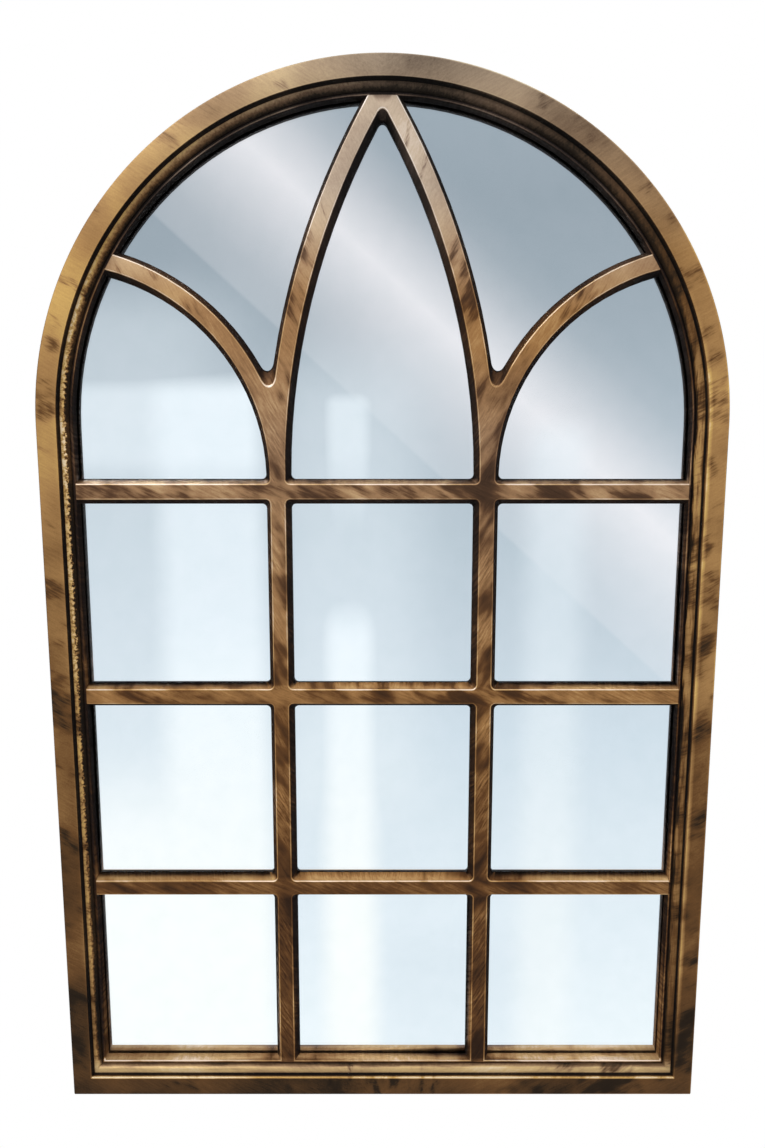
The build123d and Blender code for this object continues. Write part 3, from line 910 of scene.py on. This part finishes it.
# %% Wire rings
def wire_ring(name):
    """Closed D of round wire, hung by its straight bar from the eye."""
    low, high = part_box("hanger_ring_" + name)
    wire = 1.0 * MM
    middle_x = (low.x + high.x) / 2
    half = (high.x - low.x) / 2 - wire
    eye_y, eye_z = (low.y + high.y) / 2, high.z - wire
    bend = 1.6 * MM
    leg_end = low.z + wire + half
    points = []
    for centre, radius, start, turn, steps in (
            ((half - bend, eye_z - bend), bend, 90, -90, 5),
            ((0, leg_end), half, 0, -180, 20),
            ((bend - half, eye_z - bend), bend, 180, -90, 5)):
        rounded(points, centre, radius, start, turn, steps)
    curve = bpy.data.curves.new(f"ring_wire_{name}", "CURVE")
    curve.dimensions = "3D"
    curve.bevel_depth = wire * 0.99
    curve.bevel_resolution = 5
    spline = curve.splines.new("POLY")
    spline.points.add(len(points) - 1)
    for point, (x, z) in zip(spline.points, points):
        point.co = (middle_x + x, eye_y, z, 1)
    spline.use_cyclic_u = True
    ring = new_piece(f"ring_{name}_wire_bend", curve)
    mesh = result_mesh(ring)
    bpy.data.objects.remove(ring)
    give(mesh, zinc)
    face_outwards(mesh)
    smooth_rounds(mesh, 60)
    return new_piece(f"wire_ring_{name}", mesh)


for name in ("left", "right"):
    dress(wire_ring(name), "ring_" + name, "zinc_steel", "hanger_ring_" + name)

# %% [markdown]
# ## Buttons, straps and bumpers
# The pressed steel buttons keep their CAD shape, with edges softened by a small bevel as
# tumbling leaves them, and the straps keep theirs with smooth eyes. The rubber bumpers are
# turned again with a round rim and a shallow dished face, where the mould's gate was.

# %% Pressed steel
flat_angle = 0.01


def softened(node, name, width, finish):
    """Merged copy of a CAD node, its sharp edges rounded by a width in millimetres."""
    piece = new_piece(name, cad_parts[node].data.copy())
    face_outwards(piece.data)
    shell = bmesh.new()
    shell.from_mesh(piece.data)
    flat = [edge for edge in shell.edges
            if len(edge.link_faces) == 2 and edge.calc_face_angle() < flat_angle]
    bmesh.ops.dissolve_edges(shell, edges=flat, use_verts=True)
    shell.to_mesh(piece.data)
    shell.free()
    bevel = piece.modifiers.new("soft_edges", "BEVEL")
    bevel.width = width * MM
    bevel.segments = 2
    bevel.limit_method = "ANGLE"
    bevel.angle_limit = radians(40)
    bevel.harden_normals = True
    piece.data.shade_smooth()
    keep_result(piece)
    give(piece.data, finish)
    return piece


for number in range(1, 9):
    button = softened(f"turn_button_{number}", f"turn_button_{number}_plated", 0.2, zinc)
    dress(button, f"button_{number}", "zinc_steel", f"turn_button_{number}")
for name in ("left", "right"):
    strap = copy_of(f"hanger_strap_{name}", f"hanger_strap_{name}_plated", zinc, 35)
    dress(strap, "mirror", "zinc_steel", f"hanger_strap_{name}")

# %% Rubber bumpers
for number in range(1, 5):
    node = f"wall_bumper_{number}"
    low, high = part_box(node)
    radius, height = (high.x - low.x) / 2, high.y - low.y
    rim = 1.2 * MM
    profile = [(0, 0), (radius * 0.999, 0), (radius, 0.2 * MM)]
    for step in range(6):
        angle = radians(90 * step / 5)
        profile.append((radius - rim + rim * cos(angle), height - rim + rim * sin(angle)))
    profile += [(1.6 * MM, height), (1.2 * MM, height - 0.3 * MM), (0, height - 0.35 * MM)]
    mesh = lathe(profile, 40)
    mesh.transform(Matrix.Translation(((low.x + high.x) / 2, low.y, (low.z + high.z) / 2)))
    give(mesh, rubber)
    smooth_rounds(mesh, 40)
    dress(new_piece(f"rubber_bumper_{number}", mesh), "mirror", "bumper_rubber", node)

# %% [markdown]
# ## Room, lamps and floor
# The photograph shows the mirror alone on white, and its glass reflects a pale room: white
# lower down, grey-blue towards the top right, with one bright band that slopes down from the
# left and soft upright patches of light. The world paints that room for glossy and
# transmitted rays, in directions forward of the mirror. For diffuse light it is a soft sky,
# brighter from above, and for the camera it is plain white.

# %% World
room_light = 1.05
world = bpy.data.worlds.new("pale_room")
scene.world = world
world.use_nodes = True
world.node_tree.nodes.clear()
put = partial(add, world.node_tree)
facing = put(SPLIT, put(PLACES).outputs["Generated"])
forward = put(MATH, put(MATH, facing.outputs[1], -1.0, **TIMES), 0.08, **LARGER)
across = put(MATH, facing.outputs[0], forward, **OVER)
rise = put(MATH, facing.outputs[2], forward, **OVER)


def soft_patch(sideways, heights, brightness=1.0, centre=None):
    """Patch on the wall that fades in between two places sideways and two heights."""
    place = across
    if centre is not None:
        place = put(MATH, put(MATH, across, centre, **MINUS), **UNSIGNED)
    return put(MATH, put(RANGE, place, *sideways, 0.0, brightness, **SMOOTH),
               put(RANGE, rise, *heights, **SMOOTH), **TIMES)


# The wall is nearly white low down and grey-blue above, with a faint veil near the foot.
veil = soft_patch((0.14, 0.05), (-0.56, -0.66), 0.12, centre=0.09)
share = put(MATH, put(RANGE, rise, -0.8, 0.4), veil, **PLUS)
wall = put(RAMP, share, stops=(
    (0.0, "F2FAFF"), (1.0, "A0ACB7"), (0.16, "E6F0F8"), (0.27, "DEE9F2"), (0.38, "D2DFEA"),
    (0.48, "C8D4DF"), (0.58, "BCC9D4"), (0.69, "B0BCC7"), (0.80, "A1ADB8"), (0.9, "9AA6B1")))

# The bright band slopes down from the left.
slant = put(MATH, put(MATH, across, 0.669, -0.13, **TIMES_PLUS),
            put(MATH, rise, 0.743, **TIMES), **PLUS)
band = put(RAMP, put(RANGE, slant, -0.20, 0.20), stops=(
    (0.0, "000000"), (1.0, "000000"), (0.228, "000000"), (0.236, "666666"), (0.31, "787878"),
    (0.39, "9A9A9A"), (0.475, "BEBEBE"), (0.55, "DADADA"), (0.625, "B8B8B8"), (0.71, "808080"),
    (0.79, "404040"), (0.865, "000000")))

# The window at the left is dimmed along its sill, and by a curtain at its far side.
window = soft_patch((-0.115, -0.16), (0.10, 0.06))
sill = put(MATH, put(RANGE, rise, -0.14, -0.32, 0.8, 1.0, **SMOOTH),
           put(RANGE, rise, -0.1, 0.0, 0.0, 0.95, **SMOOTH), **LARGER)
curtain = put(MATH, put(RANGE, rise, -0.34, -0.5, 0.36, 1.0, **SMOOTH),
              put(RANGE, rise, -0.1, 0.0, 0.0, 0.75, **SMOOTH), **LARGER)
far_left = put(MIX, put(RANGE, across, -0.24, -0.285, **SMOOTH), 1.0, curtain)
patches = put(MATH, put(MATH, window, sill, **TIMES), far_left, **TIMES)

# Softer patches stand above the window, in the middle and at the right.
high_left = soft_patch((-0.10, -0.26), (0.22, 0.13), 0.35)
glow = soft_patch((0.14, 0.03), (0.16, 0.04), 0.38, centre=-0.04)
glow = put(MATH, glow, put(RANGE, rise, -0.5, -0.38, **SMOOTH), **TIMES)
middle = soft_patch((0.045, 0.012), (0.08, 0.05), 0.75, centre=-0.04)
middle = put(MATH, middle, put(RANGE, rise, 0.0, -0.10, 1.0, 0.5), **TIMES)
low_middle = soft_patch((0.05, 0.012), (-0.14, -0.23), centre=-0.04)
right = soft_patch((0.055, 0.01), (0.05, 0.0), 0.42, centre=0.205)
for patch in (high_left, glow, middle, low_middle, right):
    patches = put(MATH, patches, patch, **LARGER)
behind = put(MIX, band, data_type="RGBA")
join(wall, behind.inputs[6])
join(linear("FFFBFF"), behind.inputs[7])
room = put(MIX, patches, data_type="RGBA")
join(behind.outputs[2], room.inputs[6])
join(put(RAMP, put(RANGE, rise, -0.2, -0.6), stops=((0.0, "EEF7FF"), (1.0, "FCFFFF"))),
     room.inputs[7])
rays = put("ShaderNodeLightPath")
sky = put(RANGE, facing.outputs[2], -1.0, 1.0, 0.25, 0.85)
seen = put(MATH, rays.outputs["Is Glossy Ray"], rays.outputs["Is Transmission Ray"], **LARGER)
soft = put("ShaderNodeBackground", linear("FFFFFF"), sky)
mirrored = put("ShaderNodeBackground", room.outputs[2], room_light)
white = put("ShaderNodeBackground", linear("FFFFFF"), 1.0)
blend = put("ShaderNodeMixShader", seen, soft, mirrored)
blend = put("ShaderNodeMixShader", rays.outputs["Is Camera Ray"], blend, white)
put("ShaderNodeOutputWorld", blend)
print("world nodes:", len(world.node_tree.nodes))

# %% Lamps
def soft_lamp(name, place, target, size, power):
    """Square area lamp that looks at a target."""
    data = bpy.data.lights.new(name, "AREA")
    data.energy = power
    data.size = size
    lamp = bpy.data.objects.new(name, data)
    lamp.location = place
    lamp.rotation_euler = (Vector(target) - Vector(place)).to_track_quat("-Z", "Y").to_euler()
    scene.collection.objects.link(lamp)
    print(f"{name}: {power} W from {place}")


soft_lamp("key_lamp", (-0.9, -1.5, 2.1), (0, 0, 0.4), 0.9, 34.0)
soft_lamp("fill_lamp", (1.7, -1.3, 0.9), (0, 0, 0.4), 0.8, 8.0)
soft_lamp("back_lamp", (0.9, 1.6, 1.7), (0, 0, 0.4), 1.0, 18.0)

# %% Floor
# The floor lies well below, as the mirror hangs on a wall. It is pale, and for the camera
# it has a little light of its own, so its clear parts meet the white and its shadow stays.
shell = bmesh.new()
bmesh.ops.create_circle(shell, cap_ends=True, radius=1.2, segments=96)
bmesh.ops.translate(shell, vec=(0, 0, -1.3), verts=shell.verts)
floor = new_piece("pale_floor", mesh_of(shell, "pale_floor"))
material, put, shader = new_material("pale_floor_paint")
dust = put(NOISE, put(PLACES).outputs["Object"], 8.0, 3.0, 0.5)
join(put(RAMP, dust, stops=((0.3, "EFEFEE"), (0.7, "F6F6F5"))), shader.inputs["Base Color"])
shader.inputs["Roughness"].default_value = 0.9
lift = put(MATH, put("ShaderNodeLightPath").outputs["Is Camera Ray"], 0.45, **TIMES)
both = put("ShaderNodeAddShader", shader, put("ShaderNodeEmission", linear("FFFFFF"), lift))
join(both, material.node_tree.nodes["Material Output"].inputs["Surface"])
give(floor.data, material)
floor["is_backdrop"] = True
print("floor at", floor.data.vertices[0].co.z)

# %% [markdown]
# ## Finish
# The view transform is set to Standard, so that colours come out as written.

# %% Sizes of what is shown
scene.view_settings.view_transform = "Standard"
low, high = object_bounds()
print("visual box", [round(c * 1000, 2) for c in (*low, *high)])
